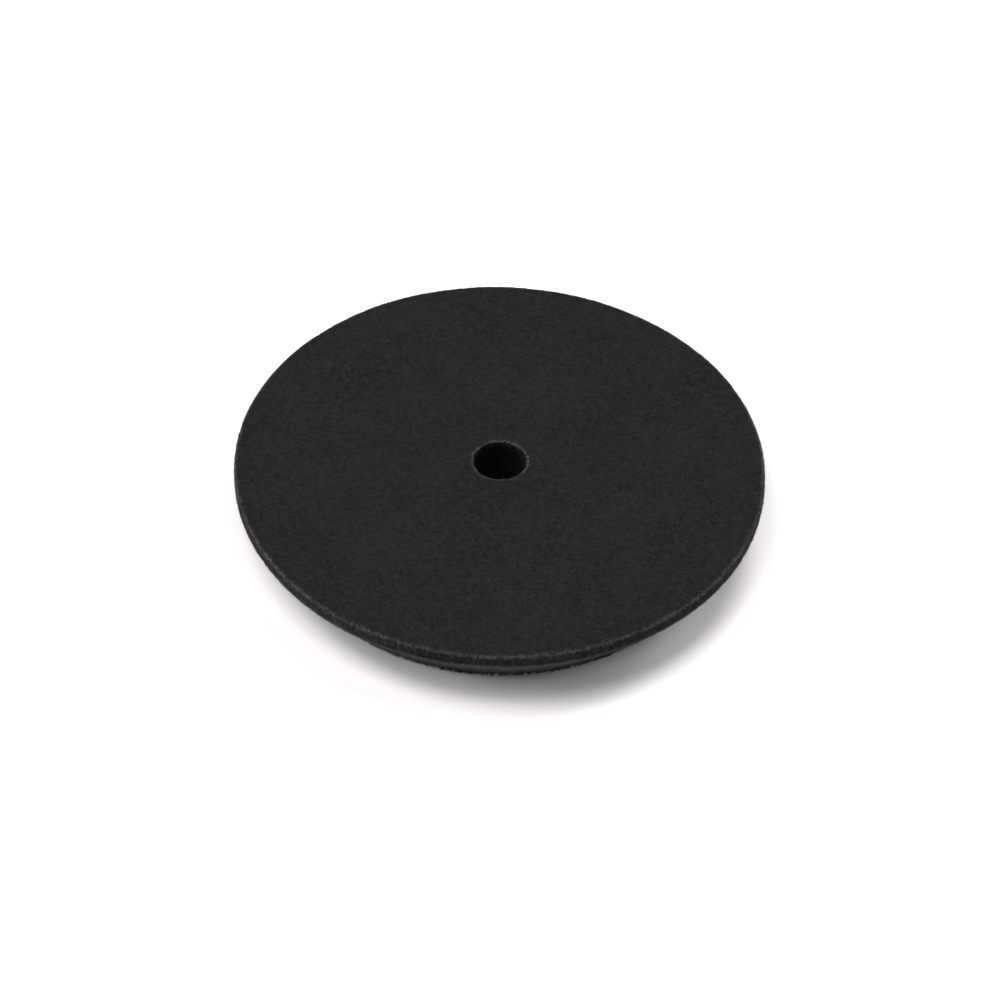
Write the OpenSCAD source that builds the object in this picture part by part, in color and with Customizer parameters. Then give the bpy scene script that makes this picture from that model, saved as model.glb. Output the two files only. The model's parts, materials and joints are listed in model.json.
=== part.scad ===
// Foam finishing pad for a polishing machine, with hook-and-loop backing.
// It lies on its loop side with the working face up.
// Z = 0 is the tips of the loops, where the pad meets a machine's backing plate.
// +Z is the pad's axis and points out of the working face.
// Every layer is punched by one die, so one centre hole runs through them all.

/* [Overall] */
// Diameter of the working face, where the pad is widest
face_d = 180; // [160:1:230]
// Thickness of the whole pad, from the loop tips to the working face
pad_t = 25; // [18:0.5:45]

/* [Backing] */
// Diameter of the loop backing, which covers the machine's backing plate
loop_d = 152; // [100:1:154]
// Height of the loops that the hooks grip
pile_t = 1.6; // [0.8:0.1:3]
// Thickness of the knitted cloth that the loops stand on
cloth_t = 0.5; // [0.3:0.1:1]
// Thickness of the film of glue between the cloth and the foam
film_t = 0.2; // [0.1:0.1:0.6]
// How far the glue stops short of the cloth's edge
film_inset = 0.6; // [0.2:0.1:3]
// How far the foam's foot stands out past the cloth
foot_overhang = 0.5; // [0:0.1:3]

/* [Centre hole] */
// Diameter of the centre hole, which a centring spigot fits
hole_d = 18; // [8:0.5:60]
// Rounding of the hole's edge at the working face
hole_edge_r = 0.8; // [0.2:0.1:2]

/* [Side of the foam] */
// Rounding of the working face's outer edge
face_edge_r = 1.2; // [0.3:0.1:2.5]
// Height of the upright lip at the working face's edge
lip_h = 2.2; // [1:0.1:4]
// Depth of the ridge round the side, below the working face
ridge_drop = 8.5; // [6:0.5:12]
// How far the ridge stands inside the working face's edge
ridge_inset = 3.3; // [1:0.1:6]
// Rounding of the ridge
ridge_r = 1.4; // [0.3:0.1:3]
// How far the wall above the ridge is hollowed
wall_hollow = 0.5; // [0:0.1:1.5]
// How far the undercut flank below the ridge is hollowed
flank_hollow = 0.6; // [0:0.1:3]

/* [Hidden] */
$fn = 180;

// Flat steps in the quarter turn of a rounding
arc_steps = 8;
// Radius that softens the middle of a hollowed wall
hollow_r = 14;
// Radius where the upright lip turns into the wall
lip_r = 3;
// A rounding takes at most this share of the edges beside it
edge_share = 0.45;

hole_r = hole_d / 2;
loop_r = loop_d / 2;
face_r = face_d / 2;
foot_r = loop_r + foot_overhang;
ridge_rad = face_r - ridge_inset;

cloth_z = pile_t;
film_z = cloth_z + cloth_t;
foam_z = film_z + film_t;
ridge_z = pad_t - ridge_drop;

// The unit vector from a to b
function toward(a, b) = (b - a) / norm(b - a);

// The point midway between a and b, pushed towards the pad's axis by hollow
function hollowed(a, b, hollow) = (a + b) / 2 + hollow * [toward(a, b).y, -toward(a, b).x];

// The corner b between a and c, rounded to radius r, as the points along its arc.
// A radius of 0 keeps the corner, and the arc never takes more than its share of an edge.
// half is half the angle between the edges, and reach is how far along them the arc begins.
function rounded(a, b, c, r) =
    let (u = toward(b, a), v = toward(b, c))
    let (half = acos(max(-1, min(1, u * v))) / 2)
    let (reach = min(r / tan(half), edge_share * norm(a - b), edge_share * norm(c - b)))
    r == 0 || half > 89.9 ? [b] :
    let (radius = reach * tan(half))
    let (centre = b + toward([0, 0], u + v) * norm([reach, radius]))
    let (start = b + u * reach - centre, turn = 180 - 2 * half)
    let (side = u.x * v.y - u.y * v.x > 0 ? -1 : 1)
    let (steps = max(2, ceil(arc_steps * turn / 90)))
    [for (i = [0:steps]) centre + turned(start, side * turn * i / steps)];

// The vector p turned anticlockwise by angle
function turned(p, angle) = [
    p.x * cos(angle) - p.y * sin(angle),
    p.x * sin(angle) + p.y * cos(angle)
];

// An outline from its corners, each given as [point, rounding radius]
function outline(corners) = [
    for (i = [0:len(corners) - 1])
        each rounded(
            corners[(i + len(corners) - 1) % len(corners)][0],
            corners[i][0],
            corners[(i + 1) % len(corners)][0],
            corners[i][1])
];

// A flat ring about the pad's axis with the centre hole through it
module ring(outer_r, low_z, height) {
    rotate_extrude()
        translate([hole_r, low_z])
            square([outer_r - hole_r, height]);
}

// Open-cell foam: an upright lip at the face, a hollowed wall, a soft ridge and an undercut flank
module foam_disc() {
    foot = [foot_r, foam_z];
    ridge = [ridge_rad, ridge_z];
    lip = [face_r, pad_t - lip_h];
    color([0.165, 0.162, 0.165])
        rotate_extrude()
            polygon(outline([
                [[hole_r, foam_z], 0],
                [foot, 0],
                [hollowed(ridge, foot, flank_hollow), hollow_r],
                [ridge, ridge_r],
                [hollowed(lip, ridge, wall_hollow), hollow_r],
                [lip, lip_r],
                [[face_r, pad_t], face_edge_r],
                [[hole_r, pad_t], hole_edge_r]
            ]));
}

// Hot-melt film that bonds the cloth to the foam
module adhesive_film() {
    color([0.32, 0.31, 0.29])
        ring(loop_r - film_inset, film_z, film_t);
}

// Warp-knitted ground cloth that carries the loops
module knitted_backing() {
    color([0.13, 0.13, 0.135])
        ring(loop_r, cloth_z, cloth_t);
}

// The brushed loops, as the layer that they fill
module loop_pile() {
    color([0.09, 0.09, 0.095])
        ring(loop_r, 0, pile_t);
}

foam_disc();
adhesive_film();
knitted_backing();
loop_pile();
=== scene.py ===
# %% [markdown]
# # A foam finishing pad, seen on a studio table
#
# The pad is a disc of black open-cell foam with a loop backing glued under it. It polishes paint with
# its wide, flat face, and a machine's hook plate grips the loops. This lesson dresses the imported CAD
# model: the CAD gives every size and place, and each cell here gives one piece the shape and finish
# that the real material has.

# %% Load the CAD model
import json
import math

import bpy
import numpy as np
from mathutils import Matrix, Vector


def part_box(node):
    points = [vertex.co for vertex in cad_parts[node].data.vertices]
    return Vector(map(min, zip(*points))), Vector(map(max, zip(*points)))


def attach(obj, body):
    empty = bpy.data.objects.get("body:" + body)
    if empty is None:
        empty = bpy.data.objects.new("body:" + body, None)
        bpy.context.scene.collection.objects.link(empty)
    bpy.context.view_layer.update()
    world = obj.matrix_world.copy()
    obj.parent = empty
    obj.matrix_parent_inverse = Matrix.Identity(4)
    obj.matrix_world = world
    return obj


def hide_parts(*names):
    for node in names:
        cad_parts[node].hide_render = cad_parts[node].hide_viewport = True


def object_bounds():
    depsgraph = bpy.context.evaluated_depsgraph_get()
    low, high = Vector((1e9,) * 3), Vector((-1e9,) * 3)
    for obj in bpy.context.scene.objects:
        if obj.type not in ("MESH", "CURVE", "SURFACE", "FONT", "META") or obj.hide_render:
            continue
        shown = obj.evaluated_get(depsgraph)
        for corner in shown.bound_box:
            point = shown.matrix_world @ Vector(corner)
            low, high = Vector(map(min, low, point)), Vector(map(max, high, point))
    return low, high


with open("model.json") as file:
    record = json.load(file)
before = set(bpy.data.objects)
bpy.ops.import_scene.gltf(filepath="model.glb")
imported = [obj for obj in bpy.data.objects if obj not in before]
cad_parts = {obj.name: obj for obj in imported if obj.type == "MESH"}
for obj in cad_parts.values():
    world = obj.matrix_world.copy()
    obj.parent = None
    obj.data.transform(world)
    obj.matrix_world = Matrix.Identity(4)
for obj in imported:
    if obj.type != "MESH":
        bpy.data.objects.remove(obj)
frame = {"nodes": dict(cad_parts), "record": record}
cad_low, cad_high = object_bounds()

MM = 0.001
print("CAD box in mm:", [round(v / MM, 1) for v in (*cad_low, *cad_high)])

# %% [markdown]
# ## Measures that the pieces share
#
# The frame is in metres. The layers lie on each other from the loop tips at the bottom to the
# working face, so each layer's heights come from its CAD node's box, and the hole's radius comes
# from the mount that the record states for it.

# %% Heights and radii from the frame
foam_low, foam_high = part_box("foam_disc")
cloth_low, cloth_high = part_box("knitted_backing")
pile_low, pile_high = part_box("loop_pile")
mounts = {m["name"]: m for m in frame["record"]["mounts"]}
hole_r = mounts["centre_hole"]["dims"]["r_mm"] * MM
face_r = foam_high.x
backing_r = cloth_high.x
face_z = foam_high.z
print("face radius", face_r, "backing radius", backing_r, "hole radius", hole_r, "face height", face_z)

# %% [markdown]
# ## The camera
#
# A long lens a metre away shows the disc nearly without perspective, as product pictures do. The
# camera looks down at about 45 degrees and leans a little to one side. It aims at a point in front of
# the pad, so that the pad stands a little above the middle of the picture.

# %% Place the camera
LENS_MM = 105.8
CAMERA_AWAY = 11.08 * face_r
CAMERA_ELEVATION = math.radians(44.29)
CAMERA_ROLL = math.radians(1.69)
AIM_BELOW = math.radians(0.78)

face_centre = Vector((0, 0, face_z))
outward = Vector((0, -math.cos(CAMERA_ELEVATION), math.sin(CAMERA_ELEVATION)))
camera = bpy.data.objects.new("camera", bpy.data.cameras.new("camera"))
bpy.context.scene.collection.objects.link(camera)
camera.data.lens = LENS_MM
camera.data.sensor_width = 36
camera.location = face_centre + outward * CAMERA_AWAY
turn = outward.to_track_quat("Z", "Y").to_matrix()
turn = turn @ Matrix.Rotation(CAMERA_ROLL, 3, "Z") @ Matrix.Rotation(-AIM_BELOW, 3, "X")
camera.rotation_euler = turn.to_euler()
bpy.context.scene.camera = camera
print("camera at", [round(v, 3) for v in camera.location])

# %% [markdown]
# ## Helpers for modelling as by hand
#
# Operators act on whatever is selected, and loading the frame leaves its nodes selected. So each
# piece starts from an empty selection, and each modifier is applied as soon as it has done its work.

# %% Selection, edit mode and modifiers
def select_only(obj):
    """Makes obj the one selected and active object."""
    bpy.ops.object.select_all(action="DESELECT")
    obj.select_set(True)
    bpy.context.view_layer.objects.active = obj


def name_new(name):
    """Names the object that an operator has just added."""
    obj = bpy.context.active_object
    obj.name = name
    obj.data.name = name
    return obj


def apply_modifier(obj, kind, **settings):
    """Adds a modifier with these settings and applies it at once."""
    select_only(obj)
    modifier = obj.modifiers.new(kind.lower(), kind)
    for key, value in settings.items():
        setattr(modifier, key, value)
    bpy.ops.object.modifier_apply(modifier=modifier.name)


def triangles(obj):
    """How many triangles a mesh has."""
    return sum(len(p.vertices) - 2 for p in obj.data.polygons)


def set_mesh(obj, points, faces):
    """Gives obj a new mesh made of these points and faces."""
    mesh = bpy.data.meshes.new(obj.name)
    mesh.from_pydata(points.tolist(), [], faces.tolist())
    obj.data = mesh


bpy.ops.object.select_all(action="DESELECT")

# %% [markdown]
# ## The outline of a turned CAD node
#
# The foam is a body of revolution, so its section is the whole of its shape. The CAD mesh holds that
# section as rings of points. Walking round the section's middle by angle puts the rings in order.

# %% Read a node's section as rings
def section_rings(node_name):
    """The (radius, height) of each ring of a turned node, in order round its section."""
    points = np.array([v.co for v in frame["nodes"][node_name].data.vertices])
    pairs = np.stack([np.hypot(points[:, 0], points[:, 1]), points[:, 2]], axis=1)
    pairs = np.unique(np.round(pairs / (0.02 * MM)), axis=0) * 0.02 * MM
    middle = (pairs.min(0) + pairs.max(0)) / 2
    away = pairs - middle
    return pairs[np.argsort(np.arctan2(away[:, 1], away[:, 0]))]


foam_rings = section_rings("foam_disc")
lip_at = min(np.flatnonzero(foam_rings[:, 0] > face_r - 0.05 * MM), key=lambda i: foam_rings[i, 1])
foot_at = max(np.flatnonzero(foam_rings[:, 1] < foam_low.z + 0.05 * MM), key=lambda i: foam_rings[i, 0])
lip, foot = foam_rings[lip_at], foam_rings[foot_at]
print("rings in the foam's section:", len(foam_rings))
print("lip and foot in mm:", [np.round(ring / MM, 2).tolist() for ring in (lip, foot)])

# %% [markdown]
# The CAD solid tapers soon below its lip, which is near enough for its weight and its collision shape.
# The real side first goes straight down as a band, turns at a soft ridge, and then tapers in to the
# backing, slightly hollow. So the rings between the lip and the foot are drawn anew, inside the CAD's
# box, and the lip, the foot and every other ring stay where the CAD puts them.

# %% Draw the side's rings anew
BAND_DEEP = 4.9 * MM
RIDGE_ROUND = 1.0 * MM
FLANK_HOLLOW = 0.5 * MM
FLANK_STEPS = 6
corner = np.array([face_r, face_z - BAND_DEEP])
down_flank = (foot - corner) / np.linalg.norm(foot - corner)
ridge_top = corner + np.array([0, RIDGE_ROUND])
ridge_end = corner + down_flank * RIDGE_ROUND
ridge = (ridge_top + ridge_end + 2 * corner) / 4
side_rings = []
for along in np.linspace(0, 1, FLANK_STEPS + 1)[1:-1]:
    hollow = np.array([FLANK_HOLLOW * math.sin(math.pi * along), 0])
    side_rings.append(foot + (ridge_end - foot) * along - hollow)
side_rings += [ridge_end, ridge, ridge_top]
foam_rings = np.concatenate([foam_rings[: foot_at + 1], side_rings, foam_rings[lip_at:]])
print("ridge in mm:", np.round(ridge / MM, 2).tolist(), "and rings now:", len(foam_rings))

# %% [markdown]
# ## The foam disc
#
# The real disc is cut from a block of open-cell foam, so its faces are flat, its edges are soft and
# every surface is a field of torn cells. It could be a smooth lathed shape with bump in its material,
# but then its outline would stay as clean as plastic. Instead a circle is extruded and scaled through
# the section's rings, and the closed shape is remeshed to even little faces. Displace modifiers then
# raise and sink those faces as cut cells do, so that even the outline is foam.

# %% Extrude a circle through the rings
SEGMENTS = 360
bpy.ops.mesh.primitive_circle_add(vertices=SEGMENTS, radius=foam_rings[0][0], location=(0, 0, 0))
foam = name_new("foam_pad")
bpy.ops.object.mode_set(mode="EDIT")
bpy.ops.mesh.select_all(action="SELECT")
bpy.ops.transform.translate(value=(0, 0, foam_rings[0][1]))
for (r_from, z_from), (r_to, z_to) in zip(foam_rings[:-1], foam_rings[1:]):
    bpy.ops.mesh.extrude_edges_move(TRANSFORM_OT_translate={"value": (0, 0, z_to - z_from)})
    grow = r_to / r_from
    bpy.ops.transform.resize(value=(grow, grow, 1), center_override=(0, 0, z_to))
bpy.ops.mesh.select_all(action="DESELECT")
bpy.ops.mesh.select_non_manifold()
bpy.ops.mesh.bridge_edge_loops()
bpy.ops.mesh.select_all(action="SELECT")
bpy.ops.mesh.normals_make_consistent(inside=False)
bpy.ops.object.mode_set(mode="OBJECT")
print("lathed foam:", triangles(foam), "triangles")

# %% Remesh to even faces
CELL_MESH = 0.42 * MM
apply_modifier(foam, "REMESH", mode="VOXEL", voxel_size=CELL_MESH, adaptivity=0, use_smooth_shade=True)
print("remeshed foam:", triangles(foam), "triangles")

# %% Save faces where the glue hides them
def select_faces(obj, wanted):
    """Selects the faces of obj that a yes-or-no array picks."""
    bpy.ops.mesh.select_all(action="DESELECT")
    bpy.ops.object.mode_set(mode="OBJECT")
    obj.data.polygons.foreach_set("select", wanted)
    bpy.ops.object.mode_set(mode="EDIT")


def face_places(obj):
    """The middle and the normal of each face, as two arrays."""
    count = len(obj.data.polygons)
    centres = np.zeros(count * 3)
    normals = np.zeros(count * 3)
    obj.data.polygons.foreach_get("center", centres)
    obj.data.polygons.foreach_get("normal", normals)
    return centres.reshape(-1, 3), normals.reshape(-1, 3)


centres, normals = face_places(foam)
radius = np.hypot(centres[:, 0], centres[:, 1])
hidden = (normals[:, 2] < -0.98) & (centres[:, 2] < foam_low.z + 0.3 * MM)
hidden &= (radius > hole_r + 1.5 * MM) & (radius < backing_r - 2 * MM)
select_only(foam)
bpy.ops.object.mode_set(mode="EDIT")
bpy.ops.mesh.select_mode(type="FACE")
select_faces(foam, hidden)
bpy.ops.mesh.delete(type="FACE")
bpy.ops.mesh.select_mode(type="EDGE")
bpy.ops.mesh.select_non_manifold()
bpy.ops.mesh.bridge_edge_loops()
bpy.ops.mesh.select_all(action="SELECT")
bpy.ops.mesh.quads_convert_to_tris()
bpy.ops.mesh.tris_convert_to_quads()
bpy.ops.object.mode_set(mode="OBJECT")
print("foam with a plain underside:", triangles(foam), "triangles")

# %% Raise and sink the surface as cut cells do
def pattern(name, kind, size, **settings):
    """A texture whose pattern repeats about every size metres."""
    texture = bpy.data.textures.new(name, kind)
    texture.noise_scale = size
    for key, value in settings.items():
        setattr(texture, key, value)
    return texture


def displace(obj, texture, height):
    """Moves the surface along its normals by up to half of height each way."""
    apply_modifier(
        obj, "DISPLACE", texture=texture, texture_coords="LOCAL", strength=height, mid_level=0.5
    )


def vertex_array(obj, attribute):
    """The places ("co") or the normals ("normal") of a mesh's points, one row each."""
    values = np.zeros(len(obj.data.vertices) * 3)
    obj.data.vertices.foreach_get(attribute, values)
    return values.reshape(-1, 3)


def keep_values(obj, name, values):
    """Stores a number for each point, which a material can read by this name."""
    layer = obj.data.attributes.new(name, "FLOAT", "POINT")
    layer.data.foreach_set("value", values.astype(np.float32))


WANDER_SIZE = 38 * MM
WANDER_DEEP = 0.5 * MM
LUMP_SIZE = 5 * MM
LUMP_DEEP = 0.18 * MM
CELL_SIZE = 1.05 * MM
CELL_DEEP = 0.3 * MM
displace(foam, pattern("cutter_wander", "CLOUDS", WANDER_SIZE, noise_depth=1), WANDER_DEEP)
displace(foam, pattern("soft_lumps", "CLOUDS", LUMP_SIZE, noise_depth=1), LUMP_DEEP)
before = vertex_array(foam, "co")
outward_side = vertex_array(foam, "normal")
displace(foam, pattern("torn_cells", "VORONOI", CELL_SIZE, noise_intensity=1.0), CELL_DEEP)
raised = ((vertex_array(foam, "co") - before) * outward_side).sum(axis=1)
print("cells move the surface by", np.round(np.percentile(raised, [1, 50, 99]) / MM, 3), "mm")
# The material paints sunk cells darker and raised ones paler by this value: a painted shade on the
# cells.
keep_values(foam, "raised", np.clip(0.5 + raised / CELL_DEEP, 0, 1))

# %% Mark where the die has torn the foam and where light is painted on
# These shares make the foam paler: painted highlight on the edges and the ridge, painted light on the
# side's band and flank.
TORN_WIDE = 1.0 * MM
EDGE_HIGHLIGHT = 0.54
MOUTH_HIGHLIGHT = 0.7
RIDGE_HIGHLIGHT = 0.88
FLANK_LIGHT = 0.74
FOOT_LIGHT_SHARE = 0.62
WALL_LIGHT = 0.25


def bell(distance):
    """1 on an edge, falling smoothly to 0 away from it."""
    return np.exp(-((distance / TORN_WIDE) ** 2))


# The face's edge is rounded, so its middle lies this far inside the sharp corner
EDGE_INSET = 0.4 * MM
foam_points = vertex_array(foam, "co")
radius = np.hypot(foam_points[:, 0], foam_points[:, 1])
height = foam_points[:, 2]
at_edge = bell(np.hypot(radius - face_r + EDGE_INSET, height - face_z + EDGE_INSET))
at_mouth = bell(np.hypot(radius - hole_r, height - face_z))
at_ridge = bell(np.hypot(radius - ridge[0], height - ridge[1]))
below_ridge = np.clip((ridge[1] - height) / (0.6 * MM), 0, 1) * (radius > backing_r - 1 * MM)
up_flank = (height - foam_low.z) / (ridge[1] - foam_low.z)
on_flank = below_ridge * np.clip(FOOT_LIGHT_SHARE + (1 - FOOT_LIGHT_SHARE) * up_flank, 0, 1)
on_wall = np.clip((face_z - height) / (1.5 * MM), 0, 1)
on_wall *= (height > ridge[1]) * (radius > ridge[0] - 2 * MM)
# Painted highlight on the face's edge, the ridge and the hole's mouth, and painted light on the side's
# band and on the flank, less towards the foot; torn strut ends stand there too.
torn_and_lit_parts = [
    EDGE_HIGHLIGHT * at_edge,
    MOUTH_HIGHLIGHT * at_mouth,
    RIDGE_HIGHLIGHT * at_ridge,
    FLANK_LIGHT * on_flank,
    WALL_LIGHT * on_wall,
]
keep_values(foam, "torn_and_highlight", np.max(torn_and_lit_parts, axis=0))
# The hole's wall below its mouth is marked to be painted darker: painted shade in the bore.
in_hole = np.clip((face_z - height) / (1.2 * MM), 0, 1) * (radius < hole_r + 1.5 * MM)
keep_values(foam, "hole_shade", in_hole)
bpy.ops.object.shade_smooth()
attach(foam, "root")
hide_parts("foam_disc")

# %% [markdown]
# ## Nodes for the finishes
#
# Every finish reads Object coordinates in metres, so a pattern's scale is one over its real size.
# Small helpers keep the node code short: one adds a node and fills or links its inputs, and the others
# make the sums, the mixes and the bump that every finish needs.

# %% Helpers for materials
def new_finish(name):
    """A material with its tree and its Principled shader."""
    material = bpy.data.materials.new(name)
    material.use_nodes = True
    tree = material.node_tree
    return material, tree, tree.nodes["Principled BSDF"]


def add(tree, kind, inputs=(), **settings):
    """Adds a node, sets its properties, and fills or links its inputs by name or number."""
    node = tree.nodes.new("ShaderNode" + kind)
    for key, value in settings.items():
        setattr(node, key, value)
    for key, value in dict(inputs).items():
        if isinstance(value, bpy.types.NodeSocket):
            tree.links.new(value, node.inputs[key])
        else:
            node.inputs[key].default_value = value
    return node


def remap(tree, value, low, high, to_low=0.0, to_high=1.0):
    """A socket where value runs smoothly from to_low to to_high while it goes from low to high."""
    inputs = {"Value": value, "From Min": low, "From Max": high, "To Min": to_low, "To Max": to_high}
    return add(tree, "MapRange", inputs, interpolation_type="SMOOTHSTEP").outputs["Result"]


def calculate(tree, operation, a, b):
    """A socket with a sum, product or other result of two numbers."""
    return add(tree, "Math", {0: a, 1: b}, operation=operation).outputs[0]


PALE_FROM = 0.75


def grey_mix(tree, share, dark, light, palest=None):
    """A colour socket that goes from dark to light as share goes from 0 to 1.

    With a palest colour, light is reached at PALE_FROM, and the rest goes on to the palest.
    """
    ramp = tree.nodes.new("ShaderNodeValToRGB")
    ramp.color_ramp.elements[0].color = (*dark, 1)
    ramp.color_ramp.elements[1].color = (*(palest or light), 1)
    if palest:
        ramp.color_ramp.elements.new(PALE_FROM).color = (*light, 1)
    tree.links.new(share, ramp.inputs["Fac"])
    return ramp.outputs["Color"]


def bump(tree, height, distance, strength):
    """A normal socket that raises the surface by height times distance."""
    node = add(tree, "Bump", {"Height": height, "Distance": distance, "Strength": strength})
    return node.outputs["Normal"]


# %% [markdown]
# ## The foam's finish
#
# Black foam is not one black. Each open cell is a dark pit, the struts between cells catch the light,
# and the block has faint paler and darker drifts. Along the face's edge, the ridge and the hole's mouth
# the colour is paler as painted highlight, and on the side's band and flank paler as painted light,
# less towards the foot; torn strut ends show there too. Sunk cells are a little darker and raised ones
# paler, a painted shade, and the hole's wall is darker as painted shade. Foam has no gloss at all, so
# the shader keeps its specular level near zero; even a little would mirror the white table at a low
# angle.

# %% Black open-cell foam
CELL = 0.55 * MM
INNER_CELL = 0.33 * MM
NET_SHARE = (0.02, 0.58)
# Shares for painted shade on the cells, painted highlight and light on edges and side, and painted shade
# in the hole.
RAISED_SHADE_SHARE = 0.09
TORN_HIGHLIGHT_SHARE = 0.5
HOLE_SHADE_SHARE = -0.34
# Each drift is its size, its noise detail and how much it adds to the paler share
DRIFTS = ((1.6 * MM, 3.0, 0.13), (3.5 * MM, 1.0, 0.04), (26 * MM, 2.0, 0.06))


def cell_rims(tree, place, size):
    """A socket that is 1 on the struts between cells and 0 in the pits."""
    cells = add(tree, "TexVoronoi", {"Vector": place, "Scale": 1 / size}, feature="DISTANCE_TO_EDGE")
    return remap(tree, cells.outputs["Distance"], 0.02, 0.24, 1, 0)


def foam_finish(name, pit, strut, palest, carved=False):
    """A foam material between three colours. On carved foam it follows the values kept in the mesh."""
    material, tree, shader = new_finish(name)
    place = add(tree, "TexCoord").outputs["Object"]
    rims = cell_rims(tree, place, CELL)
    inner_rims = cell_rims(tree, place, INNER_CELL)
    height = calculate(tree, "MAXIMUM", rims, calculate(tree, "MULTIPLY", inner_rims, 0.5))
    share = remap(tree, height, 0, 1, *NET_SHARE)
    for size, detail, amount in DRIFTS:
        noise = add(tree, "TexNoise", {"Vector": place, "Scale": 1 / size, "Detail": detail})
        share = calculate(tree, "ADD", share, remap(tree, noise.outputs["Fac"], 0.3, 0.7, 0, amount))
    if carved:
        # Sunk cells are painted darker and raised ones paler: painted shade.
        kept = add(tree, "Attribute", attribute_name="raised").outputs["Fac"]
        share = calculate(tree, "ADD", share, remap(tree, kept, 0.2, 0.8, -RAISED_SHADE_SHARE, RAISED_SHADE_SHARE))
        share = calculate(tree, "MINIMUM", share, PALE_FROM)
        # The first kept value paints highlight and light on the side paler; the second paints shade in
        # the hole darker.
        for value, amount in (("torn_and_highlight", TORN_HIGHLIGHT_SHARE), ("hole_shade", HOLE_SHADE_SHARE)):
            kept = add(tree, "Attribute", attribute_name=value).outputs["Fac"]
            share = calculate(tree, "ADD", share, remap(tree, kept, 0, 1, 0, amount))
    tree.links.new(grey_mix(tree, share, pit, strut, palest), shader.inputs["Base Color"])
    tree.links.new(remap(tree, height, 0, 1, 0.95, 0.7), shader.inputs["Roughness"])
    tree.links.new(bump(tree, height, 0.16 * MM, 0.8), shader.inputs["Normal"])
    shader.inputs["Specular IOR Level"].default_value = 0.01
    shader.inputs["Sheen Weight"].default_value = 0.01
    shader.inputs["Sheen Roughness"].default_value = 0.45
    shader.inputs["Sheen Tint"].default_value = (0.9, 0.9, 0.92, 1)
    return material


foam.data.materials.clear()
PIT = (0.0012, 0.0011, 0.0012)
STRUT = (0.0193, 0.0181, 0.0186)
# The palest colour is the painted highlight on the edges, the ridge and the side.
TORN_HIGHLIGHT = (0.080, 0.0778, 0.0735)
foam.data.materials.append(foam_finish("open_cell_foam", PIT, STRUT, TORN_HIGHLIGHT, carved=True))

# %% [markdown]
# ## The torn struts on the foam's edges
#
# A die tears the foam where it cuts, and short ends of struts stand out along the face's edge, the
# ridge and the mouth of the hole. They are what makes a foam edge look soft. One end is modelled from
# a small triangle, extruded and narrowed as a torn strut is, and then copied thousands of times, each
# copy turned and sized by a seeded draw.

# %% Model one torn strut
def start_ring(name, sides, size):
    """Adds a small ring of points on the origin, in edit mode with all of it selected."""
    bpy.ops.object.select_all(action="DESELECT")
    bpy.ops.mesh.primitive_circle_add(vertices=sides, radius=size, fill_type="NGON", location=(0, 0, 0))
    obj = name_new(name)
    bpy.ops.object.mode_set(mode="EDIT")
    bpy.ops.mesh.select_all(action="SELECT")
    return obj


def extrude_to(step, grow):
    """Extrudes the selected face by a step and scales its end."""
    bpy.ops.mesh.extrude_region_move(TRANSFORM_OT_translate={"value": step})
    bpy.ops.transform.resize(value=(grow, grow, grow))


def take_shape(obj):
    """The points and the triangles of obj as arrays, and removes obj."""
    bpy.ops.mesh.select_all(action="SELECT")
    bpy.ops.mesh.normals_make_consistent(inside=False)
    bpy.ops.mesh.quads_convert_to_tris()
    bpy.ops.object.mode_set(mode="OBJECT")
    points = np.array([v.co for v in obj.data.vertices])
    faces = np.array([p.vertices for p in obj.data.polygons])
    bpy.data.objects.remove(obj)
    return points, faces


STRUT_THICK = 0.045 * MM
STRUT_LONG = 0.45 * MM
strut = start_ring("strut", 3, STRUT_THICK)
extrude_to((0, 0.04 * MM, STRUT_LONG * 0.5), 0.7)
extrude_to((0, 0.10 * MM, STRUT_LONG * 0.5), 0.5)
strut_points, strut_faces = take_shape(strut)
print("one strut:", len(strut_faces), "triangles")

# %% Copy a shape to many places
def many_copies(name, points, faces, places, turns, sizes):
    """One mesh object with a copy of the shape at each place, turned and sized."""
    moved = np.einsum("nij,pj->npi", turns * sizes[:, None, None], points) + places[:, None, :]
    count = len(places)
    all_faces = faces[None] + (np.arange(count) * len(points))[:, None, None]
    obj = bpy.data.objects.new(name, bpy.data.meshes.new(name))
    bpy.context.scene.collection.objects.link(obj)
    set_mesh(obj, moved.reshape(-1, 3), all_faces.reshape(-1, 3))
    return obj


def turns_along(directions, spins):
    """Rotations that stand a copy's Z axis along each direction, after a spin about it."""
    up = directions / np.linalg.norm(directions, axis=1, keepdims=True)
    helper = np.where(np.abs(up[:, 2:3]) < 0.9, [[0.0, 0.0, 1.0]], [[1.0, 0.0, 0.0]])
    side = np.cross(helper, up)
    side /= np.linalg.norm(side, axis=1, keepdims=True)
    front = np.cross(up, side)
    cosine = np.cos(spins)[:, None]
    sine = np.sin(spins)[:, None]
    return np.stack([side * cosine + front * sine, front * cosine - side * sine, up], axis=2)


# %% Scatter struts along the edges
EDGE_STRUTS = 13000
RIDGE_STRUTS = 9000
MOUTH_STRUTS = 1600
STRUT_LEAN = 0.5
STRUT_ROOT = 0.12 * MM
LEAST_STRUT = 0.4
STRUT_SPREAD = 1.2
chance = np.random.default_rng(7)
foam_points = vertex_array(foam, "co")
foam_normals = vertex_array(foam, "normal")
# The struts' finish is a paler copy of the foam's own: a painted highlight that the torn ends catch
# along the edges.
LIT_END_PIT = (0.015, 0.0147, 0.0138)
LIT_END_STRUT = (0.040, 0.0390, 0.0368)
LIT_END_PALEST = (0.060, 0.0585, 0.0552)
lit_strut_material = foam_finish("torn_foam_ends_lit", LIT_END_PIT, LIT_END_STRUT, LIT_END_PALEST)


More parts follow.
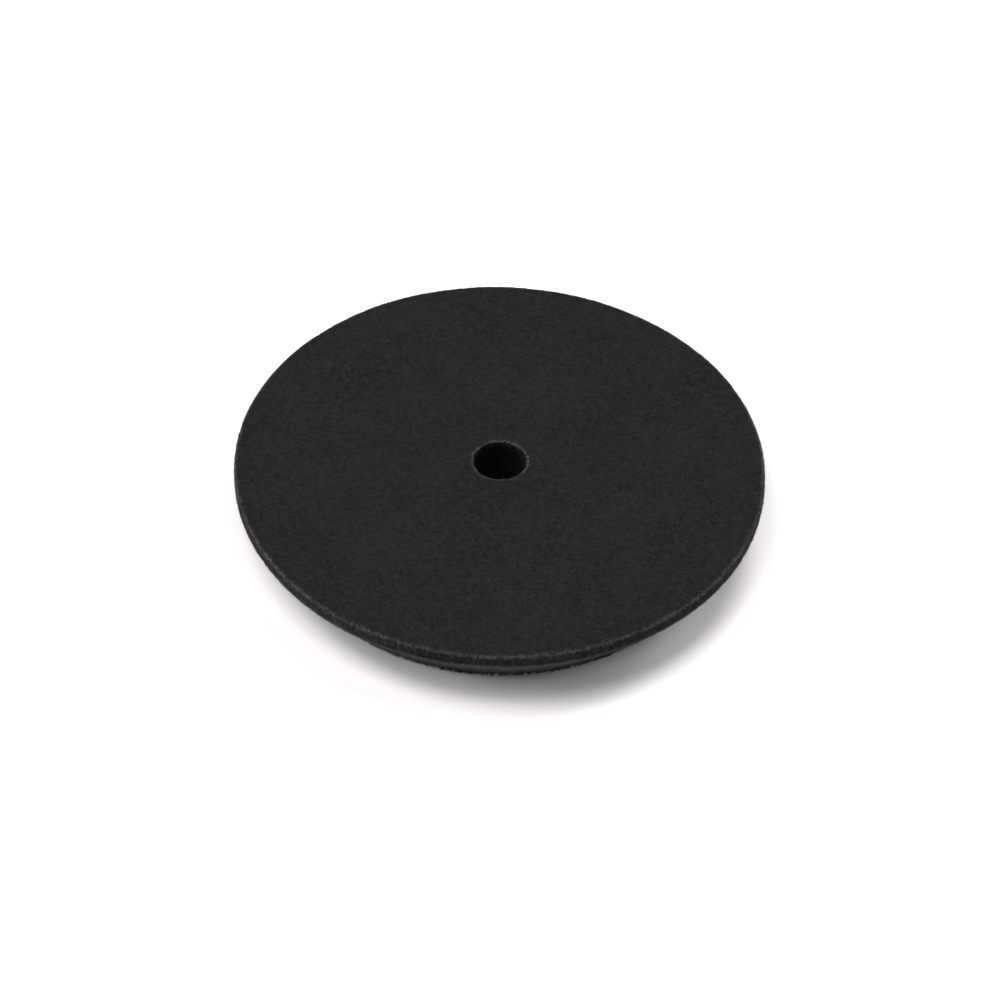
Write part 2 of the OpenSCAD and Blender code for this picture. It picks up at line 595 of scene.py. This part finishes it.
def torn_ends(name, nearness, count):
    """A piece of struts that stand on the foam, most of them where nearness is close to 1."""
    chosen = chance.choice(len(nearness), count, replace=False, p=nearness**2 / (nearness**2).sum())
    lean = chance.normal(0, STRUT_LEAN, (count, 3))
    obj = many_copies(
        name,
        strut_points,
        strut_faces,
        foam_points[chosen] - foam_normals[chosen] * STRUT_ROOT,
        turns_along(foam_normals[chosen] + lean, chance.uniform(0, 2 * math.pi, count)),
        LEAST_STRUT + STRUT_SPREAD * chance.uniform(0, 1, count) ** 2,
    )
    obj.data.materials.append(lit_strut_material)
    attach(obj, "root")
    print(name, triangles(obj), "triangles")
    return obj


strut_pieces = [
    torn_ends("face_edge_struts", at_edge, EDGE_STRUTS),
    torn_ends("ridge_struts", at_ridge, RIDGE_STRUTS),
    torn_ends("hole_mouth_struts", at_mouth, MOUTH_STRUTS),
]

# %% [markdown]
# ## The knitted ground cloth
#
# Under the foam lies a thin warp-knitted cloth, cut to a ring. It is a real sheet, so it is made as a
# ring of faces that lies flat on the glue and is then given its thickness. Its stitches are finer than
# a face, so they live in the finish.

# %% Model the ground cloth
CLOTH_RINGS = 40
CLOTH_RIPPLE = 0.12 * MM
cloth_t = cloth_high.z - cloth_low.z
bpy.ops.object.select_all(action="DESELECT")
bpy.ops.mesh.primitive_circle_add(
    vertices=SEGMENTS // 2, radius=hole_r + 0.1 * MM, location=(0, 0, (cloth_low.z + cloth_high.z) / 2)
)
cloth = name_new("ground_cloth")
bpy.ops.object.mode_set(mode="EDIT")
bpy.ops.mesh.select_all(action="SELECT")
cloth_radii = np.linspace(hole_r + 0.1 * MM, backing_r, CLOTH_RINGS)
for r_from, r_to in zip(cloth_radii[:-1], cloth_radii[1:]):
    bpy.ops.mesh.extrude_edges_move(TRANSFORM_OT_translate={"value": (0, 0, 0)})
    bpy.ops.transform.resize(value=(r_to / r_from, r_to / r_from, 1), center_override=(0, 0, 0))
bpy.ops.object.mode_set(mode="OBJECT")
bpy.ops.object.transform_apply(location=True, rotation=True, scale=True)
displace(cloth, pattern("cloth_ripple", "CLOUDS", 3 * MM), CLOTH_RIPPLE)
apply_modifier(cloth, "SOLIDIFY", thickness=cloth_t - CLOTH_RIPPLE, offset=0)
bpy.ops.object.shade_smooth_by_angle(angle=math.radians(40))
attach(cloth, "root")
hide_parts("knitted_backing")

# %% [markdown]
# The knit is wales that run one way and courses that cross them. A band wave along each axis gives the
# two sets of ridges, and noise bends them as real yarn bends.

# %% The knitted cloth's finish
WALE = 0.85 * MM
knit_finish, tree, shader = new_finish("warp_knit")
place = add(tree, "TexCoord").outputs["Object"]
wander = add(tree, "TexNoise", {"Vector": place, "Scale": 1 / (2 * MM), "Detail": 2.0})
bend = add(tree, "VectorMath", {0: wander.outputs["Color"], 1: (0.3 * MM,) * 3}, operation="MULTIPLY")
bent = add(tree, "VectorMath", {0: place, 1: bend.outputs["Vector"]}, operation="ADD").outputs["Vector"]
# A wave node shows one band for each 2 pi / 20 of its scaled coordinate
BAND = math.pi / 10
wales = add(tree, "TexWave", {"Vector": bent, "Scale": BAND / WALE}, bands_direction="X").outputs["Fac"]
courses = add(tree, "TexWave", {"Vector": bent, "Scale": BAND / (0.6 * MM)}, bands_direction="Y")
stitch = calculate(tree, "MULTIPLY", wales, courses.outputs["Fac"])
colour = grey_mix(tree, stitch, (0.003, 0.003, 0.0032), (0.018, 0.018, 0.019))
tree.links.new(colour, shader.inputs["Base Color"])
tree.links.new(remap(tree, stitch, 0, 1, 0.9, 0.7), shader.inputs["Roughness"])
tree.links.new(bump(tree, stitch, 0.15 * MM, 0.8), shader.inputs["Normal"])
shader.inputs["Sheen Weight"].default_value = 0.1
cloth.data.materials.clear()
cloth.data.materials.append(knit_finish)

# %% [markdown]
# ## The loops
#
# Brushing has pulled the knit's loose yarns up into thousands of loops, which the plate's hooks catch.
# One loop is modelled as an arch: a small ring of points is extruded up a leg, over and down again.
# Copies stand in the knit's rows, each turned, leaned and sized by a seeded draw. Many more stand along
# the cloth's cut edge, where they make the slightly ragged dark line under the foam.

# %% Model one loop
YARN = 0.12 * MM
LOOP_WIDE = 0.95 * MM
pile_t = pile_high.z - pile_low.z
bpy.ops.object.select_all(action="DESELECT")
bpy.ops.mesh.primitive_circle_add(vertices=3, radius=YARN, location=(0, 0, 0))
loop = name_new("loop")
bpy.ops.object.mode_set(mode="EDIT")
bpy.ops.mesh.select_all(action="SELECT")
bpy.ops.transform.translate(value=(-LOOP_WIDE / 2, 0, 0))
leg = pile_t - LOOP_WIDE / 2 - YARN
bpy.ops.mesh.extrude_edges_move(TRANSFORM_OT_translate={"value": (0, 0, leg)})
bpy.ops.mesh.spin(steps=4, angle=-math.pi, center=(0, 0, leg), axis=(0, 1, 0))
bpy.ops.mesh.extrude_edges_move(TRANSFORM_OT_translate={"value": (0, 0, -leg)})
bpy.ops.mesh.select_all(action="SELECT")
bpy.ops.mesh.remove_doubles(threshold=YARN / 20)
loop_points, loop_faces = take_shape(loop)
print("one loop:", len(loop_faces), "triangles, height in mm", round(loop_points[:, 2].max() / MM, 2))

# %% Stand the loops in the knit's rows
LOOP_PITCH = 1.28 * MM
ROW_WANDER = 0.22 * MM
chance = np.random.default_rng(19)
across = np.arange(-backing_r, backing_r, LOOP_PITCH)
rows = np.array([(x, y) for x in across for y in across])
rows += chance.normal(0, ROW_WANDER, rows.shape)
from_axis = np.hypot(rows[:, 0], rows[:, 1])
rows = rows[(from_axis > hole_r + 0.7 * MM) & (from_axis < backing_r - 0.5 * MM)]


def hang_loops(name, spots, lean_out, lean_spread, size_range):
    """A piece of loops that hang from the cloth at these spots, leaning outward by lean_out."""
    count = len(spots)
    outward = spots / np.linalg.norm(spots, axis=1, keepdims=True)
    down = np.concatenate([outward * lean_out, np.full((count, 1), -1.0)], axis=1)
    down[:, :2] += chance.normal(0, lean_spread, (count, 2))
    turns = turns_along(down, chance.uniform(0, 2 * math.pi, count))
    sizes = chance.uniform(*size_range, count)
    feet = np.concatenate([spots, np.full((count, 1), cloth_low.z + 0.05 * MM)], axis=1)
    obj = many_copies(name, loop_points, loop_faces, feet, turns, sizes)
    points = vertex_array(obj, "co")
    points[:, 2] = np.maximum(points[:, 2], pile_low.z)
    obj.data.vertices.foreach_set("co", points.ravel())
    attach(obj, "root")
    return obj


middle_r = backing_r * 0.7
inner = rows[np.hypot(rows[:, 0], rows[:, 1]) < middle_r]
outer = rows[np.hypot(rows[:, 0], rows[:, 1]) >= middle_r]
field_loops = hang_loops("backing_loops_inner", inner, 0.0, 0.3, (0.75, 1.05))
rim_loops = hang_loops("backing_loops_outer", outer, 0.1, 0.3, (0.75, 1.05))
FRINGE_COUNT = 4200
angle = chance.uniform(0, 2 * math.pi, FRINGE_COUNT)
reach = backing_r - 0.25 * MM - np.abs(chance.normal(0, 1.0 * MM, FRINGE_COUNT))
edge_spots = np.stack([np.cos(angle) * reach, np.sin(angle) * reach], axis=1)
fringe = hang_loops("backing_fringe", edge_spots, 0.05, 0.22, (0.6, 0.85))
loop_pieces = [field_loops, rim_loops, fringe]
for piece in loop_pieces:
    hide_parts("loop_pile")
    print(piece.name, triangles(piece), "triangles")

# %% [markdown]
# The yarn is black nylon: darker than the foam, smoother, and with a silky sheen. Its colour drifts a
# little from loop to loop.

# %% The loops' finish
loop_finish, tree, shader = new_finish("brushed_nylon")
place = add(tree, "TexCoord").outputs["Object"]
drift = add(tree, "TexNoise", {"Vector": place, "Scale": 1 / (1.5 * MM), "Detail": 1.0}).outputs["Fac"]
twist = add(tree, "TexNoise", {"Vector": place, "Scale": 1 / (0.12 * MM), "Detail": 1.0}).outputs["Fac"]
colour = grey_mix(tree, remap(tree, drift, 0.3, 0.7), (0.006, 0.0058, 0.0056), (0.022, 0.0215, 0.021))
tree.links.new(colour, shader.inputs["Base Color"])
tree.links.new(remap(tree, twist, 0.3, 0.7, 0.45, 0.7), shader.inputs["Roughness"])
tree.links.new(bump(tree, twist, 0.03 * MM, 0.6), shader.inputs["Normal"])
shader.inputs["Sheen Weight"].default_value = 0.15
for piece in loop_pieces:
    piece.data.materials.append(loop_finish)

# %% [markdown]
# ## The glue
#
# The film of hot-melt glue keeps its CAD shape, because it is a flat ring that only shows as a hairline.
# It gets a finish of its own: amber-grey, half shiny, with the open pattern that a glue web leaves.

# %% The glue film's finish
glue_finish, tree, shader = new_finish("hot_melt_film")
place = add(tree, "TexCoord").outputs["Object"]
web = add(tree, "TexVoronoi", {"Vector": place, "Scale": 1 / (1.8 * MM)}, feature="DISTANCE_TO_EDGE")
film = remap(tree, web.outputs["Distance"], 0.0, 0.25)
colour = grey_mix(tree, film, (0.10, 0.09, 0.075), (0.045, 0.042, 0.038))
tree.links.new(colour, shader.inputs["Base Color"])
tree.links.new(remap(tree, film, 0, 1, 0.3, 0.5), shader.inputs["Roughness"])
tree.links.new(bump(tree, film, 0.05 * MM, 0.5), shader.inputs["Normal"])
film_node = frame["nodes"]["adhesive_film"]
film_node.data.materials.clear()
film_node.data.materials.append(glue_finish)

# %% [markdown]
# ## Flat maps for baking
#
# A game engine can't run these node finishes, so baking them to pictures needs a UV map.
# An automatic unwrap would cut a rough surface like this into thousands of scraps. A map whose parts
# are laid out one by one keeps large plain areas: the working face as a disc, the side as two strips,
# the hole's wall as a third, and the hidden underside as a small disc. The map is named OFBake.

# %% Lay the foam out flat
BAKE_MAP = "OFBake"
FACE_DISC = (0.39, 0.39, 0.37)
UNDER_DISC = (0.60, 0.89, 0.09)
SIDE_STRIPS = (0.80, 0.10, 0.085)
HOLE_STRIP = (0.02, 0.35, 0.80, 0.18)
MAP_EDGE = 0.01


def corner_points(obj):
    """For each corner of each face: the corner's place and the face's middle."""
    mesh = obj.data
    sides = np.zeros(len(mesh.polygons), dtype=np.int64)
    mesh.polygons.foreach_get("loop_total", sides)
    owner = np.repeat(np.arange(len(sides)), sides)
    point = np.zeros(len(mesh.loops), dtype=np.int64)
    mesh.loops.foreach_get("vertex_index", point)
    return vertex_array(obj, "co")[point], face_places(obj)[0][owner]


def keep_map(obj, places):
    """Gives obj a UV map with these places for its corners."""
    layer = obj.data.uv_layers.new(name=BAKE_MAP)
    layer.uv.foreach_set("vector", places.astype(np.float32).ravel())


def on_disc(corner, disc, real_radius):
    """The places of corners on a disc of the map, seen from above."""
    return np.array(disc[:2]) + corner[:, :2] * disc[2] / real_radius


corner, middle = corner_points(foam)
middle_angle = np.arctan2(middle[:, 1], middle[:, 0]) % (2 * math.pi)
angle = np.arctan2(corner[:, 1], corner[:, 0])
angle = middle_angle + (angle - middle_angle + math.pi) % (2 * math.pi) - math.pi
up = (corner[:, 2] - foam_low.z) / (face_z - foam_low.z)
middle_r = np.hypot(middle[:, 0], middle[:, 1])
below_face = middle[:, 2] < face_z - 0.9 * MM
in_hole = below_face & (middle_r < hole_r + 1.2 * MM)
on_side = below_face & (middle_r > backing_r - 0.4 * MM)
under = below_face & ~in_hole & ~on_side

places = on_disc(corner, FACE_DISC, face_r + 1 * MM)
places[under] = on_disc(corner, UNDER_DISC, backing_r)[under]
second_half = middle_angle >= math.pi
strip_left, strip_step, strip_wide = SIDE_STRIPS
side_u = strip_left + second_half * strip_step + up * strip_wide
side_v = MAP_EDGE + (angle / math.pi - second_half) * (1 - 2 * MAP_EDGE)
places[on_side] = np.stack([side_u, side_v], axis=1)[on_side]
hole_left, hole_wide, hole_low, hole_high = HOLE_STRIP
hole_u = hole_left + angle / (2 * math.pi) * hole_wide
places[in_hole] = np.stack([hole_u, hole_low + up * hole_high], axis=1)[in_hole]
keep_map(foam, places)
corner_counts = [int(part.sum()) for part in (~below_face, on_side, in_hole, under)]
print("corners on face, side, hole and underside:", corner_counts)

# %% [markdown]
# A piece of thousands of copies has no large areas. Its triangles lie in a grid instead, two to a
# square, so that each one has a few pixels of its own.

# %% Lay the small copies out in a grid
GRID_GAP = 0.08


def map_in_grid(obj):
    """Gives each triangle of obj half of its own square in a grid."""
    count = len(obj.data.polygons)
    across = math.ceil(math.sqrt(count / 2))
    near, far, slant = GRID_GAP, 1 - GRID_GAP, 2.5 * GRID_GAP
    lower_half = [(near, near), (1 - slant, near), (near, 1 - slant)]
    upper_half = [(far, far), (slant, far), (far, slant)]
    halves = np.array([lower_half, upper_half])
    face = np.arange(count)
    square = face // 2
    start = np.stack([square % across, square // across], axis=1)
    keep_map(obj, (start[:, None, :] + halves[face % 2]).reshape(-1, 2) / across)


for piece in (*strut_pieces, *loop_pieces):
    map_in_grid(piece)
    print(piece.name, "laid out in a grid")

# %% [markdown]
# ## Floor and light
#
# The pad lies on a white table among soft square lights, as product pictures are lit. The strongest are
# low on the left and low behind on the right, so the shadow lies in front, longest to the front right.
# High lights from both sides soften it. The world adds almost nothing: a bright one would fill the dark
# line where the loops meet the table.

# %% The floor
FLOOR_WIDE = 8
bpy.ops.object.select_all(action="DESELECT")
bpy.ops.mesh.primitive_plane_add(size=FLOOR_WIDE, location=(0, 0, cad_low.z))
floor = name_new("floor")
floor_finish, tree, shader = new_finish("white_table")
shader.inputs["Base Color"].default_value = (0.884, 0.858, 0.856, 1)
shader.inputs["Roughness"].default_value = 0.7
shader.inputs["Specular IOR Level"].default_value = 0.2
floor.data.materials.append(floor_finish)

# %% The lights
LIGHT_AWAY = 1.3
LIGHT_WIDE = 0.5
WORLD_STRENGTH = 0.02


def soft_light(name, elevation, azimuth, power):
    """A square area light that faces the pad. Azimuth 0 is behind it, and 90 is on its right."""
    lamp = bpy.data.lights.new(name, "AREA")
    lamp.size = LIGHT_WIDE
    lamp.energy = power
    obj = bpy.data.objects.new(name, lamp)
    bpy.context.scene.collection.objects.link(obj)
    up, round_pad = math.radians(elevation), math.radians(azimuth)
    towards = Vector(
        (math.sin(round_pad) * math.cos(up), math.cos(round_pad) * math.cos(up), math.sin(up))
    )
    obj.location = towards * LIGHT_AWAY
    obj.rotation_euler = towards.to_track_quat("Z", "Y").to_euler()


soft_light("low_left_light", 15, -90, 13.0)
soft_light("low_back_light", 15, 45, 13.5)
soft_light("right_light", 30, 90, 2.8)
soft_light("left_light", 50, -90, 6.8)
soft_light("front_light", 50, 180, 2.4)
soft_light("high_front_light", 70, -135, 8.1)
soft_light("high_back_light", 70, 45, 9.5)
world = bpy.data.worlds.new("studio")
world.use_nodes = True
world.node_tree.nodes["Background"].inputs["Color"].default_value = (1, 1, 1, 1)
world.node_tree.nodes["Background"].inputs["Strength"].default_value = WORLD_STRENGTH
bpy.context.scene.world = world
bpy.context.scene.view_settings.view_transform = "Standard"
bpy.context.scene.view_settings.look = "None"
